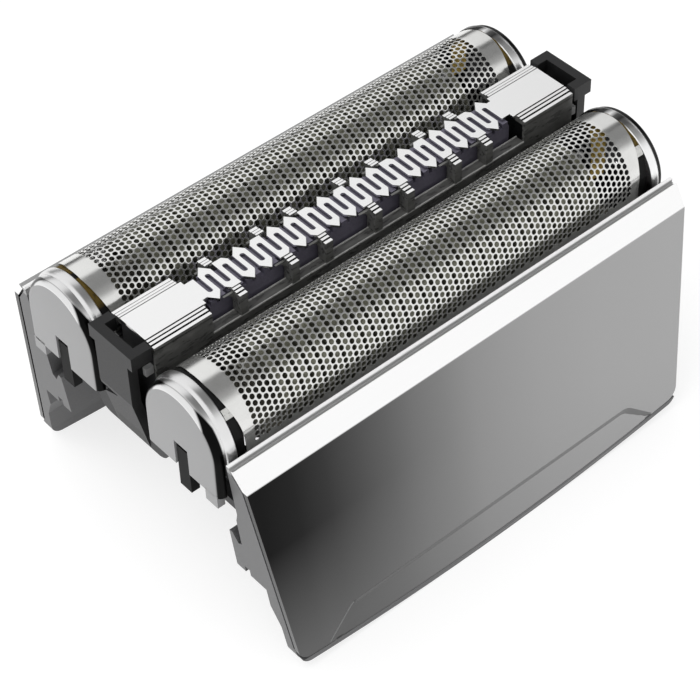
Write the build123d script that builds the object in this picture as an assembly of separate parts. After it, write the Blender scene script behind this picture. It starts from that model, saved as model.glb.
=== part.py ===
"""Foil head of an electric shaver: two floating foils over comb-like cutters, a long-hair trimmer
between them, and a frame whose two side pieces clip over the shaver's neck.

+X runs along the foils, +Y is the left side, +Z is the shaving side. Left pieces are built and
mirrored to the right, near pieces (at -X) are mirrors of the far ones. All sizes are in mm.
"""
import math
import os

from build123d import *

# foils
foil_y = 7.4
foil_r = 4.1
foil_t = 0.15
foil_axis_z = 22.0
foil_half = 21.0             # half length, the size that all ends follow
foil_foot_z = 18.2
hole_margin = 2.8            # foil's end past the centres of the outer holes
hole_field_half = foil_half - hole_margin
arch_flats = 7               # flats round the foil, its formers and the blades
arch_flat_deg = 24.0
hole_columns = 13
hole_rows = 5                # one row to a flat
hole_r = 0.85                # to the corners, of the coarse lattice

# cutters
blade_gap = 0.3              # foil to blade
blade_r = foil_r - foil_t - blade_gap
blade_wall = 1.1
blade_t = 0.3
blade_count = 10
carrier_margin = 3.0         # foil's end past the carrier
carrier_half = foil_half - carrier_margin
blade_margin = 0.6           # carrier's end past the outer blades' centres
blade_field_half = carrier_half - blade_margin
carrier_w = 4.0
carrier_foot_z = 18.4
carrier_top_z = 20.4
carrier_flange_t = 0.8
drive_socket_l = 4.4
drive_socket_w = 2.4
drive_socket_h = 1.2
blade_rib_w = 0.9

# foil frame
seat_gap = 0.05              # between pieces of one body that nest
rail_w = 0.9
holder_foot_z = 17.7
holder_top_z = 19.4
former_past = 0.7            # past the foil's end
former_half = foil_half + former_past
former_t = 1.1
former_wall = 1.0
carrier_gap = 1.5            # room for the cutter's stroke
cross_half = carrier_half + carrier_gap

# end bows and caps
ring_over = 0.5              # outside the foil's arch
ring_r = foil_r + ring_over
ring_wall = 0.95
ring_axis_z = 21.35
ring_foot_z = 20.0
ring_l = 0.9
ring_front_half = former_half + ring_l
cap_under = 0.13             # inside the ring's arch
cap_r = ring_r - cap_under
cap_l = 0.97
cap_face_half = ring_front_half + cap_l
cap_front_t = 0.7
cap_foot_z = 17.75
cap_edge = 0.3
cap_slot_top_z = 20.3
cap_tab_w = 1.8
cap_tab_h = 1.05

# tongues of the foil frame in the caps' slots
tongue_w = 1.35
tongue_foot_z = 15.5
tongue_top_z = 19.8
tongue_sunk = 0.12           # behind the cap's face
tongue_face_half = cap_face_half - tongue_sunk
slot_gap = 0.125
cap_slot_w = tongue_w + 2 * slot_gap

# side pieces: bright cover on a grey moulding
panel_past = 2.0             # past the foil's end, along the band
panel_top_half = foil_half + panel_past
panel_taper = 1.9            # shorter by this at each lower corner
panel_foot_half = panel_top_half - panel_taper
panel_corner_r = 1.2
panel_edge_r = 220.0         # bow of the lower edge
ridge_gap = 0.4              # ring to moulding
ridge_y = foil_y + ring_r + ridge_gap  # inner wall of the moulding, at the top
ridge_z = 22.05
ridge_t = 0.35
groove_t = 0.5
band_out = 2.07              # ridge to the crease between the band and the main face
band_y = ridge_y + band_out
band_z = 20.2
face_out = 2.73              # crease to the main face at the lower corners
foot_y = band_y + face_out
cover_t = 0.45
lip_h = 0.5                  # moulding below the cover
edge_sag = panel_edge_r - math.sqrt(panel_edge_r ** 2 - panel_foot_half ** 2)
foot_z = edge_sag + lip_h    # cover's lower corners, over a moulding that stands on z = 0
moulding_foot_t = 1.3
heel_w = 0.15
heel_z = 1.8
web_in = 0.3
web_y = ridge_y - web_in     # moulding's inner wall above the rail
rail_out = 1.35
rail_y = web_y - rail_out    # inner face of the clip rail
rail_low_z = 8.2
rail_top_z = 12.6
rail_root_in = 2.85
rail_foot_y = foot_y - rail_root_in
rail_root_h = 2.0
rail_slope_h = 2.0
rail_slope_w = 0.95
edge_gap = 0.2               # shadow line between cover and moulding
edge_gap_w = 0.45
recess_depth = 0.35
recess_h = 3.3               # above the cover's lower edge, at its middle
recess_margin = 2.5
recess_foot_half = panel_foot_half - recess_margin
recess_slant = 3.3
recess_top_half = recess_foot_half - recess_slant
recess_corner_r = 1.6
overshoot = 4.0              # of cutting bodies past what they cut

# trimmer
guard_past = 0.73            # past the foil's end
guard_half = foil_half + guard_past
guard_top_z = 25.81
guard_t = 0.25
guard_plate_y = 1.55         # edge of the flat top
guard_step_1_y = 1.9         # outer edges of the steps beside it
guard_step_2_y = 2.27
guard_wall_y = 2.6
guard_step_ys = (guard_step_1_y, guard_step_2_y, guard_wall_y)
guard_step_h = 0.09
guard_foot_z = 19.6
tooth_pitch = 1.7
tooth_count = 18
teeth_half = tooth_count / 2 * tooth_pitch
first_tooth_x = -teeth_half + tooth_pitch / 4  # left and right teeth stand half a pitch apart
tooth_tip_y = 1.88
tooth_root_y = 1.12
tooth_slot_w = 0.44
tooth_slot_end_y = 0.88
tooth_slot_corner = 0.12
tooth_half_w = (tooth_pitch - tooth_slot_w) / 2
joined_teeth = {2: 1, 5: -1, 7: 1, 10: -1, 12: 1, 15: -1, 17: 1}  # right tooth and its square side
plate_margin = 0.65          # plates' straight edge past the teeth
plate_start = teeth_half + plate_margin
window_margin = 0.3
window_half = plate_start + window_margin
post_w = 0.75
post_inset = 0.05
post_inner_y = guard_plate_y + post_inset
window_h = 2.21
window_sill_z = guard_top_z - window_h
sill_lip_h = 0.12
inner_gap = 0.1              # between the blade and the guard over it
blade_top_z = guard_top_z - guard_t - inner_gap
inner_blade_y = guard_plate_y - inner_gap
inner_blade_t = 0.3
inner_blade_past = 0.3
inner_blade_half = teeth_half + inner_blade_past
inner_slot_w = 0.85
inner_slot_y = 0.5
inner_slot_h = 1.06
inner_slot_foot_z = blade_top_z - inner_slot_h
base_inset = 0.3
base_y = guard_wall_y - base_inset
base_foot_z = 18.4
base_top_z = 20.4
inner_blade_foot_z = base_top_z + inner_gap
block_gap = 0.95
base_block_start = window_half + block_gap
driver_head_half = 3.0
driver_room = 0.6            # round the peg, past its stroke
driver_slot_half = driver_head_half + driver_room
driver_y = 0.8
driver_half = 1.0
driver_foot_z = 16.3
stub_l = 0.75                # corner stubs of the base, past the guard's ends
stub_w = 0.4
stub_h = 0.8
stub_rise = 0.1
stub_top_z = window_sill_z + stub_rise

# centre frame
bracket_gap = 0.22           # past the guard's end
bracket_inner_half = guard_half + bracket_gap
bracket_l = 1.92
bracket_half = bracket_inner_half + bracket_l
bracket_y = guard_wall_y
bracket_rise = 0.1
bracket_top_z = guard_top_z + bracket_rise
bracket_rim_h = 1.3
bracket_wall = 0.87
post_y = 2.0
end_wall_lean = 1.17
end_wall_half = bracket_half - end_wall_lean
end_wall_t = 0.85
end_wall_y = 4.4
end_wall_foot_z = 15.05
end_wall_top_z = 17.6
end_wall_r = 1.4
slope_top_z = 20.5
notch_z = 20.05              # three-sided pocket in the plate's face
notch_h = 1.55
notch_tip_y = -0.1
notch_depth = 0.6
spine_y = 2.4
spine_gap = 2.87
spine_half = bracket_half - spine_gap
spine_foot_z = 13.0
spine_top_z = 14.6
rib_in = 0.8                 # behind the former's face
rib_outer = former_half - rib_in
rib_l = 1.6
rib_inner = rib_outer - rib_l
rib_foot_z = 13.2
rib_top_z = 14.0
tenon = 0.6
guide_w = 0.8
guide_gap = 0.15
guide_x = (rib_inner + rib_outer) / 2
foil_guide_in = 0.95
foil_guide_y = foil_r - foil_t - foil_guide_in  # from the foil's centre plane
foil_guide_top_z = 19.2
trimmer_guide_in = 2.73
trimmer_guide_x = guard_half - trimmer_guide_in
trimmer_guide_l = 1.6
trimmer_guide_top_z = 20.6

# springs
leaf_t = 0.2
leaf_bends = 3               # to each side of the crown
foil_leaf_half = 2.2
foil_leaf_w = 0.9
trimmer_leaf_x = 9.0
trimmer_leaf_half = 2.4
trimmer_leaf_w = 1.6


def face_of(points):
    """A face from a closed run of 2-D points."""
    return make_face(Polyline(*points, close=True))


def bar_x(face, start, end):
    """A YZ face run along X from start to end."""
    return Pos(start, 0, 0) * extrude(Plane.YZ * face, end - start)


def bar_y(face, start, end):
    """An XZ face run along Y from start to end."""
    return Pos(0, end, 0) * extrude(Plane.XZ * face, end - start)


def block(x0, x1, y0, y1, z0, z1):
    return Pos((x0 + x1) / 2, (y0 + y1) / 2, (z0 + z1) / 2) * Box(x1 - x0, y1 - y0, z1 - z0)


def arch_face(y, radius, axis_z, foot_z):
    """A D shape: half round over straight sides."""
    sides = Polyline((y - radius, axis_z), (y - radius, foot_z), (y + radius, foot_z), (y + radius, axis_z))
    crown = ThreePointArc((y + radius, axis_z), (y, axis_z + radius), (y - radius, axis_z))
    return make_face([*sides.edges(), *crown.edges()])


def flat_arch_face(y, radius, axis_z, foot_z):
    """The D shape in straight runs, with its flats at the radius."""
    corner_r = radius / math.cos(math.radians(arch_flat_deg / 2))
    points = []
    for k in range(arch_flats + 1):
        angle = math.radians((k - arch_flats / 2) * arch_flat_deg)
        points.append((y + corner_r * math.sin(angle), axis_z + corner_r * math.cos(angle)))
    return face_of([(points[0][0], foot_z), *points, (points[-1][0], foot_z)])


def arch_band(y, radius, wall, axis_z, foot_z, shape=flat_arch_face):
    """A D-shaped band, open at its foot."""
    return shape(y, radius, axis_z, foot_z) - shape(y, radius - wall, axis_z, foot_z - 1)


def offset_line(points, distance):
    """Points of a bent line moved sideways, to the right of its direction, with mitred bends."""
    moved = []
    for k, (y, z) in enumerate(points):
        normals = []
        for a, b in ((k - 1, k), (k, k + 1)):
            if a < 0 or b >= len(points):
                continue
            dy = points[b][0] - points[a][0]
            dz = points[b][1] - points[a][1]
            length = math.hypot(dy, dz)
            normals.append((dz / length, -dy / length))
        ny = sum(n[0] for n in normals) / len(normals)
        nz = sum(n[1] for n in normals) / len(normals)
        scale = distance / (ny * ny + nz * nz)
        moved.append((y + ny * scale, z + nz * scale))
    return moved


def mirrored_x(shape):
    return mirror(shape, about=Plane.YZ)


def mirrored_y(shape):
    return mirror(shape, about=Plane.XZ)


def both_ends(shape):
    return shape + mirrored_x(shape)


# lines of the side pieces
cover_start_y = ridge_y + ridge_t + groove_t
face_slope = (foot_y - band_y) / (band_z - foot_z)
cover_outer = [(cover_start_y, ridge_z - 0.1), (band_y, band_z), (foot_y + face_slope * 2, foot_z - 2)]
cover_inner = offset_line(cover_outer, cover_t)
end_slope = (panel_top_half - panel_foot_half) / (band_z - foot_z)


def side_outline(grow, drop, corner_r):
    """The side piece seen from its own side: straight slanted ends and a bowed lower edge."""
    low_half = panel_foot_half + grow - end_slope * drop
    high_z = ridge_z + 1
    high_half = panel_top_half + grow + end_slope * (high_z - band_z)
    low_z = foot_z - drop
    ends = Polyline((-low_half, low_z), (-high_half, high_z), (high_half, high_z), (low_half, low_z))
    bow = ThreePointArc((low_half, low_z), (0, low_z - edge_sag), (-low_half, low_z))
    face = make_face([*ends.edges(), *bow.edges()])
    low_corners = face.vertices().sort_by(Axis.Y)[:2]
    return fillet(low_corners, corner_r)


def side_cover():
    band = face_of(cover_outer + cover_inner[::-1])
    span = panel_top_half + 2
    cover = bar_x(band, -span, span) & bar_y(side_outline(0, 0, panel_corner_r), 0, foot_y + overshoot)
    # recess in the lower middle of the main face
    tilt = math.degrees(math.atan(face_slope))
    face_plane = Plane(origin=(0, foot_y, foot_z), x_dir=(-1, 0, 0),
                       z_dir=(0, math.cos(math.radians(tilt)), math.sin(math.radians(tilt))))
    top = recess_h - edge_sag
    low = -edge_sag - 1
    foot = recess_foot_half + (recess_foot_half - recess_top_half) * -low / (top - low)
    shape = face_of([(-foot, low), (-recess_top_half, top), (recess_top_half, top), (foot, low)])
    shape = fillet(shape.vertices().sort_by(Axis.Y)[2:], recess_corner_r)
    return cover - extrude(face_plane * shape, -recess_depth) - extrude(face_plane * shape, 1)


def side_moulding():
    """Thick grey moulding behind the cover, with its clip rail, tenon pockets and lower lip."""
    skin = offset_line(cover_outer, cover_t)
    foot_outer = skin[-1]
    inner = [
        (foot_outer[0] - moulding_foot_t, foot_outer[1]),
        (foot_outer[0] - moulding_foot_t - heel_w, heel_z),
        (rail_foot_y + rail_slope_w, rail_low_z - rail_root_h - rail_slope_h),
        (rail_foot_y, rail_low_z - rail_root_h),
        (rail_foot_y - 0.1, rail_low_z),
        (web_y + 0.3, rail_low_z),
        (web_y + 0.3, rail_low_z + 0.7),
        (web_y - 0.3, rail_low_z + 0.7),
        (web_y - 0.3, rail_low_z),
        (rail_y, rail_low_z),
        (rail_y, rail_top_z),
        (rail_y + 0.35, rail_top_z + 0.1),
        (web_y - 0.45, rail_top_z - 0.9),
        (web_y, rail_top_z - 0.6),
        (web_y, rail_top_z + 2.4),
        (ridge_y, rail_top_z + 3.4),
        (ridge_y, ridge_z - 0.1),
        (ridge_y + 0.1, ridge_z),
        (ridge_y + ridge_t, ridge_z),
        (ridge_y + ridge_t, skin[0][1]),
    ]
    span = panel_top_half + 2
    body = bar_x(face_of(inner + skin), -span, span)
    body = body & bar_y(side_outline(0, lip_h, panel_corner_r), 0, foot_y + overshoot)
    # lip below the cover, as thick as the cover
    slab = bar_x(face_of(cover_outer + cover_inner[::-1]), -span, span)
    lip = slab & bar_y(side_outline(0, lip_h, panel_corner_r), 0, foot_y + overshoot)
    lip = lip - bar_y(side_outline(1, 0, panel_corner_r), 0, foot_y + overshoot)
    body = body + lip
    # shadow line along both ends, behind the cover
    strip = face_of(offset_line(cover_outer, cover_t) + offset_line(cover_outer, cover_t + edge_gap)[::-1])
    margin = bar_y(side_outline(1, -1, 0.5), 0, foot_y + overshoot)
    margin = margin - bar_y(side_outline(-edge_gap_w, -edge_gap_w, 0.5), 0, foot_y + overshoot)
    body = body - (bar_x(strip, -span, span) & margin)
    # pockets for the centre frame's tenons
    pocket = block(rib_inner - seat_gap, rib_outer + seat_gap, web_y - 1, web_y + tenon + seat_gap,
                   rib_foot_z - seat_gap, rib_top_z + seat_gap)
    return body - both_ends(pocket)


def foil_sheet():
    """The thin arched foil with a coarse lattice of six-sided holes."""
    sheet = bar_x(arch_band(foil_y, foil_r, foil_t, foil_axis_z, foil_foot_z), -foil_half, foil_half)
    step = 2 * hole_field_half / (hole_columns - 1)
    cutters = []
    for row in range(hole_rows):
        angle = (row - (hole_rows - 1) / 2) * arch_flat_deg
        odd = row % 2
        for column in range(hole_columns - odd):
            x = -hole_field_half + (column + odd / 2) * step
            plane = Plane(origin=(x, foil_y, foil_axis_z), x_dir=(1, 0, 0),
                          z_dir=(0, math.sin(math.radians(angle)), math.cos(math.radians(angle))))
            prism = extrude(plane * Pos(0, 0, foil_r - 4 * foil_t) * RegularPolygon(hole_r, 6), 8 * foil_t)
            cutters.append(prism)
    return sheet - cutters


def foil_holder():
    """Rails, end bridges, arched formers and the tongue seen in each end cap's slot."""
    inner_r = foil_r - foil_t
    rail_in_y = foil_y + inner_r - rail_w
    rail = block(-former_half, former_half, rail_in_y, foil_y + inner_r, holder_foot_z, holder_top_z)
    ledge = block(-foil_half, foil_half, rail_in_y, foil_y + foil_r, holder_foot_z, foil_foot_z)
    rail = rail + ledge
    holder = rail + Pos(0, 2 * foil_y, 0) * mirrored_y(rail)
    bridge = block(cross_half, former_half, foil_y - inner_r, foil_y + inner_r, holder_foot_z, holder_top_z)
    former = bar_x(arch_band(foil_y, inner_r - seat_gap, former_wall, foil_axis_z, holder_top_z - 0.1),
                   former_half - former_t, former_half)
    tongue = block(former_half, tongue_face_half, foil_y - tongue_w / 2, foil_y + tongue_w / 2,
                   holder_foot_z + 0.3, tongue_top_z)
    hook = block(tongue_face_half - 0.8, tongue_face_half, foil_y - tongue_w / 2, foil_y + tongue_w / 2,
                 tongue_foot_z, tongue_top_z)
    holder = holder + both_ends(bridge + former + tongue + hook)
    # holes for the centre frame's guides
    half = guide_w / 2 + guide_gap
    for side in (-1, 1):
        centre = foil_y + side * foil_guide_y
        hole = block(guide_x - half, guide_x + half, centre - half, centre + half,
                     holder_foot_z - 1, holder_top_z + 1)
        holder = holder - both_ends(hole)
    return holder


def end_ring():
    band = arch_band(foil_y, ring_r, ring_wall, ring_axis_z, ring_foot_z, arch_face)
    return bar_x(band, former_half, ring_front_half)


def end_cap():
    """D-shaped cap with a bevelled front edge, a slot for the tongue and a small tab."""
    cap = bar_x(arch_face(foil_y, cap_r, ring_axis_z, cap_foot_z), ring_front_half, cap_face_half)
    front = cap.faces().sort_by(Axis.X)[-1]
    rim = [edge for edge in front.edges() if edge.center().Z > cap_foot_z + 0.1]
    cap = chamfer(rim, cap_edge)
    back = cap_face_half - cap_front_t
    inside = arch_face(foil_y, ring_r - ring_wall, ring_axis_z, cap_foot_z - 1)
    pocket = bar_x(inside, ring_front_half - 1, back)
    low = block(ring_front_half - 1, back, foil_y - ring_r, foil_y + ring_r, cap_foot_z - 1, ring_foot_z)
    slot = block(back - 1, cap_face_half + 1, foil_y - cap_slot_w / 2, foil_y + cap_slot_w / 2,
                 cap_foot_z - 1, cap_slot_top_z)
    cap = cap - pocket - low - slot
    tab_y = foil_y + cap_r - cap_tab_w
    tab = block(back, cap_face_half, tab_y, tab_y + cap_tab_w, cap_foot_z - cap_tab_h, cap_foot_z + 0.2)
    return cap + tab


def cutter_carrier():
    """Bar under the blades with a rib up their middle and a socket for the drive peg."""
    bar = block(-carrier_half, carrier_half, foil_y - carrier_w / 2, foil_y + carrier_w / 2,
                carrier_foot_z, carrier_top_z)
    bar = bar + block(-carrier_half, carrier_half, foil_y - blade_r, foil_y + blade_r,
                      carrier_top_z - carrier_flange_t, carrier_top_z)
    bar = chamfer(bar.edges().filter_by(Axis.Z), 0.4)
    rib_top = foil_axis_z + math.sqrt((blade_r - blade_wall) ** 2 - (blade_rib_w / 2) ** 2)
    rib = block(-carrier_half + 0.4, carrier_half - 0.4, foil_y - blade_rib_w / 2, foil_y + blade_rib_w / 2,
                carrier_top_z - 0.2, rib_top)
    socket = block(-drive_socket_l / 2, drive_socket_l / 2, foil_y - drive_socket_w / 2,
                   foil_y + drive_socket_w / 2, carrier_foot_z - 1, carrier_foot_z + drive_socket_h)
    return bar + rib - socket


def cutter_blades():
    """Arched blades in a row, each its own solid, seated over the carrier."""
    step = 2 * blade_field_half / (blade_count - 1)
    blade = arch_band(foil_y, blade_r, blade_wall, foil_axis_z, carrier_top_z)
    blades = []
    for k in range(blade_count):
        x = -blade_field_half + k * step
        blades.append(bar_x(blade, x - blade_t / 2, x + blade_t / 2))
    return Compound(children=blades)


def comb_edge():
    """Points of the comb's right edge towards +X: a pointed or joined tooth, then the slot beside it."""
    points = [(-guard_half, -guard_plate_y), (-plate_start, -guard_plate_y), (-plate_start, -tooth_root_y)]
    slope_x = tooth_half_w * (tooth_tip_y - guard_plate_y) / (tooth_tip_y - tooth_root_y)
    slot = tooth_slot_w / 2
    for k in range(tooth_count):
        x = first_tooth_x + k * tooth_pitch
        points.append((x - tooth_half_w, -tooth_root_y))
        square_side = joined_teeth.get(k + 1)
        if square_side is None:
            points.append((x, -tooth_tip_y))
        elif square_side > 0:
            points += [(x - slope_x, -guard_plate_y), (x + tooth_half_w, -guard_plate_y)]
        else:
            points += [(x - tooth_half_w, -guard_plate_y), (x + slope_x, -guard_plate_y)]
        points.append((x + tooth_half_w, -tooth_root_y))
        slot_x = x + tooth_pitch / 2
        corner_y = tooth_slot_end_y - tooth_slot_corner
        points += [(slot_x - slot, corner_y), (slot_x - slot + tooth_slot_corner, tooth_slot_end_y),
                   (slot_x + slot - tooth_slot_corner, tooth_slot_end_y), (slot_x + slot, corner_y)]
    return points + [(slot_x + slot, -tooth_root_y), (plate_start, -tooth_root_y),
                     (plate_start, -guard_plate_y), (guard_half, -guard_plate_y)]


def trimmer_guard():
    """Folded steel guard: a meandering comb between two plates, stepped edges, and walls with windows."""
    edge = comb_edge()
    comb = face_of(edge + [(-x, -y) for x, y in edge])
    guard = Pos(0, 0, guard_top_z - guard_t) * extrude(comb, guard_t)
    # stepped edge of the right side, as a line from the flat top down to the wall
    line = [(-guard_plate_y + 0.05, guard_top_z - guard_step_h)]
    for n, y in enumerate(guard_step_ys):
        if n > 0:
            line.append((line[-1][0], guard_top_z - (n + 1) * guard_step_h))
        line.append((-y, guard_top_z - (n + 1) * guard_step_h))
    under = [(y, z - guard_t) for y, z in line]
    edges = bar_x(face_of(line + under[::-1]), window_half, guard_half)
    wall = block(-guard_half, guard_half, -guard_wall_y, -guard_wall_y + guard_t, guard_foot_z, line[-1][1])
    wall = wall - block(-window_half, window_half, -guard_wall_y - 1, -guard_wall_y + 1,
                        window_sill_z, guard_top_z)
    sill_low_z = window_sill_z - guard_t
    sill = block(-window_half, window_half, -guard_wall_y, -post_inner_y, sill_low_z, window_sill_z)
    lip = block(-window_half, window_half, -post_inner_y - guard_t, -post_inner_y,
                sill_low_z, window_sill_z + sill_lip_h)
    side = wall + both_ends(edges) + sill + lip
    # posts stand on the sill under the steps
    post_line = [(-post_inner_y, line[0][1])] + line[1:]
    post_face = face_of(post_line + [(-guard_wall_y, sill_low_z), (-post_inner_y, sill_low_z)])
    for number in joined_teeth:
        x = first_tooth_x + (number - 1) * tooth_pitch
        side = side + bar_x(post_face, x - post_w / 2, x + post_w / 2)
    guard = guard + side + mirrored_y(side)
    # tabs from the joined teeth to the posts
    for number, square_side in joined_teeth.items():
        x = first_tooth_x + (number - 1) * tooth_pitch
        x0, x1 = sorted((x - square_side * post_w / 2, x + square_side * tooth_half_w))
        tab = block(x0, x1, -guard_step_ys[0], -guard_plate_y + 0.05, line[0][1] - guard_t, line[0][1])
        guard = guard + tab + Rot(0, 0, 180) * tab
    return guard


def trimmer_blade():
    """Toothed channel that slides under the guard."""
    top = blade_top_z
    channel = block(-inner_blade_half, inner_blade_half, -inner_blade_y, inner_blade_y,
                    inner_blade_foot_z, top)
    channel = channel - block(-inner_blade_half - 1, inner_blade_half + 1, -inner_blade_y + inner_blade_t,
                              inner_blade_y - inner_blade_t, inner_blade_foot_z - 1, top - inner_blade_t)
    slots = []
    for side in (-1, 1):
        for k in range(tooth_count):
            x = (k - (tooth_count - 1) / 2) * tooth_pitch
            y0, y1 = sorted((side * inner_slot_y, side * (inner_blade_y + 1)))
            slots.append(block(x - inner_slot_w / 2, x + inner_slot_w / 2, y0, y1,
                               inner_slot_foot_z, top + 1))
    return channel - slots


def trimmer_base():
    """Plastic base in the guard, with end blocks, guide sockets and an opening for the drive."""
    base = block(-guard_half, guard_half, -base_y, base_y, base_foot_z, base_top_z)
    block_top = guard_top_z - guard_t
    block_y = guard_plate_y - 0.15
    end = block(base_block_start, guard_half, -block_y, block_y, base_top_z - 0.1, block_top)
    inner_wall = guard_wall_y - guard_t
    flange = block(base_block_start, guard_half, -inner_wall, inner_wall, base_top_z - 0.1, window_sill_z)
    base = base + both_ends(end + flange)
    base = base - block(-driver_slot_half, driver_slot_half, -driver_y - driver_room, driver_y + driver_room,
                        base_foot_z - 1, base_top_z + 1)
    for side in (-1, 1):
        y0, y1 = sorted((side * (base_y - stub_w), side * base_y))
        base = base + both_ends(block(guard_half - 0.3, guard_half + stub_l, y0, y1,
                                      stub_top_z - stub_h, stub_top_z))
    socket_half = trimmer_guide_l / 2 + guide_gap
    socket = block(trimmer_guide_x - socket_half, trimmer_guide_x + socket_half,
                   -guide_w / 2 - guide_gap, guide_w / 2 + guide_gap,
                   base_foot_z - 1, trimmer_guide_top_z + 2)
    return base - both_ends(socket)


def trimmer_driver():
    """Peg that the shaver's drive moves to and fro, hung under the blade."""
    head_top = blade_top_z - inner_blade_t
    inner = inner_blade_y - inner_blade_t
    head = block(-driver_head_half, driver_head_half, -inner, inner, head_top - 1.0, head_top)
    stem = block(-driver_half, driver_half, -driver_y, driver_y, driver_foot_z, head_top - 0.9)
    stem = chamfer(stem.faces().sort_by(Axis.Z)[0].edges(), 0.3)
    return head + stem


def main_frame():
    """Dark centre frame: end brackets and walls, a spine with guides, and ribs to both side pieces."""
    # front plate: straight at the top, leaning back to the low end wall
    plate_top_z = bracket_top_z - bracket_rim_h + 0.1
    side_view = face_of([
        (bracket_half, plate_top_z), (bracket_half, slope_top_z), (end_wall_half, end_wall_foot_z),
        (end_wall_half - end_wall_t, end_wall_foot_z), (bracket_half - bracket_wall, slope_top_z),
        (bracket_half - bracket_wall, plate_top_z)])
    plate = bar_y(side_view, -post_y, post_y)
    rim = block(bracket_inner_half, bracket_half, -bracket_y, bracket_y,
                bracket_top_z - bracket_rim_h, bracket_top_z)
    rim = rim - block(bracket_inner_half - 1, bracket_half - bracket_wall, -bracket_y + bracket_wall,
                      bracket_y - bracket_wall, bracket_top_z - bracket_rim_h - 1, bracket_top_z + 1)
    shoulders = face_of([
        (-end_wall_y, end_wall_foot_z), (end_wall_y, end_wall_foot_z), (end_wall_y, end_wall_top_z),
        (post_y, end_wall_top_z + 0.4), (-post_y, end_wall_top_z + 0.4), (-end_wall_y, end_wall_top_z)])
    shoulders = fillet(shoulders.vertices().group_by(Axis.Y)[0], end_wall_r)
    wall = bar_x(shoulders, end_wall_half - end_wall_t, end_wall_half)
    web = block(spine_half - 1.5, end_wall_half - end_wall_t + 0.1, -spine_y, spine_y,
                spine_top_z - 0.6, end_wall_foot_z + 1.2)
    end = plate + rim + wall + web
    end = end + block(rib_inner, rib_outer, -web_y - tenon, web_y + tenon, rib_foot_z, rib_top_z)
    for y in (-foil_y - foil_guide_y, -foil_y + foil_guide_y, foil_y - foil_guide_y, foil_y + foil_guide_y):
        end = end + block(guide_x - guide_w / 2, guide_x + guide_w / 2, y - guide_w / 2, y + guide_w / 2,
                          rib_top_z - 0.1, foil_guide_top_z)
    end = end + block(trimmer_guide_x - trimmer_guide_l / 2, trimmer_guide_x + trimmer_guide_l / 2,
                      -guide_w / 2, guide_w / 2, spine_top_z - 0.1, trimmer_guide_top_z)
    notch = bar_x(face_of([(post_y + 1, notch_z), (notch_tip_y, notch_z), (post_y + 1, notch_z - notch_h)]),
                  bracket_half - notch_depth, bracket_half + 1)
    frame_ends = end - mirrored_y(notch) + mirrored_x(end) - mirrored_x(notch)
    spine = block(-spine_half, spine_half, -spine_y, spine_y, spine_foot_z, spine_top_z)
    spine = spine - block(-driver_slot_half, driver_slot_half, -driver_y - driver_room,
                          driver_y + driver_room, spine_foot_z - 1, spine_top_z + 1)
    return spine + frame_ends


def leaf_spring(half, foot_z, crown_z, width):
    """A bowed leaf in the XZ plane, centred on the origin."""
    outer = []
    inner = []
    for k in range(2 * leaf_bends + 1):
        share = k / leaf_bends - 1
        bow = 1 - share * share
        outer.append((share * half, foot_z + (crown_z - foot_z) * bow))
        inner.append((share * (half - leaf_t), foot_z + (crown_z - leaf_t - foot_z) * bow))
    return bar_y(face_of(outer + inner[::-1]), -width / 2, width / 2)


def foil_springs():
    leaf = leaf_spring(foil_leaf_half, rib_top_z, holder_foot_z, foil_leaf_w)
    leaf = Pos((rib_inner + rib_outer) / 2, foil_y, 0) * Rot(0, 0, 90) * leaf
    return Compound(children=[leaf, mirrored_x(leaf)])


def trimmer_springs():
    leaf = leaf_spring(trimmer_leaf_half, spine_top_z, base_foot_z, trimmer_leaf_w)
    leaf = Pos(trimmer_leaf_x, 0, 0) * leaf
    return Compound(children=[leaf, mirrored_x(leaf)])


parts = {
    "main_frame": main_frame(),
    "trimmer_guard": trimmer_guard(),
    "trimmer_blade": trimmer_blade(),
    "trimmer_base": trimmer_base(),
    "trimmer_driver": trimmer_driver(),
    "trimmer_springs": trimmer_springs(),
}
left = {
    "side_cover": side_cover(),
    "side_frame": side_moulding(),
    "foil_sheet": foil_sheet(),
    "foil_frame": foil_holder(),
    "foil_springs": foil_springs(),
    "cutter_carrier": cutter_carrier(),
    "cutter_blades": cutter_blades(),
}
for name, shape in left.items():
    parts[name + "_left"] = shape
    parts[name + "_right"] = mirrored_y(shape)
for name, shape in {"end_ring": end_ring(), "end_cap": end_cap()}.items():
    parts[name + "_left_far"] = shape
    parts[name + "_left_near"] = mirrored_x(shape)
    parts[name + "_right_far"] = mirrored_y(shape)
    parts[name + "_right_near"] = mirrored_x(mirrored_y(shape))

os.makedirs("parts", exist_ok=True)
for name, shape in parts.items():
    export_step(shape, f"parts/{name}.step")
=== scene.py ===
"""Looks of the shaver foil head: fine foils, toothed guard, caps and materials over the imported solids."""
import math

import bmesh
import bpy
from mathutils import Matrix, Vector


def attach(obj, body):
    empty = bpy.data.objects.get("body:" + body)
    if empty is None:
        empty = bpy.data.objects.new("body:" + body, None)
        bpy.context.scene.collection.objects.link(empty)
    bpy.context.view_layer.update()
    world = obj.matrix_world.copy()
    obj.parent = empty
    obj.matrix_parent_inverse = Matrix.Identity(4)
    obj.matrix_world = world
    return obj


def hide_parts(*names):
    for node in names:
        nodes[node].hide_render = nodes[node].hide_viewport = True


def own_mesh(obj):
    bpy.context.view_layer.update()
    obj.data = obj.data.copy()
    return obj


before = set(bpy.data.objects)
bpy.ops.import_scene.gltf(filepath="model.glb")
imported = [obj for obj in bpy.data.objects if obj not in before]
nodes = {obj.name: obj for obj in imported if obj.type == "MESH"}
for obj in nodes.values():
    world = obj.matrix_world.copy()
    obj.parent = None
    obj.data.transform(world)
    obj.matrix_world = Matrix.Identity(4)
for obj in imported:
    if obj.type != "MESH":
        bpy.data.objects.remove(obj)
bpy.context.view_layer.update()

MM = 0.001

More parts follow.
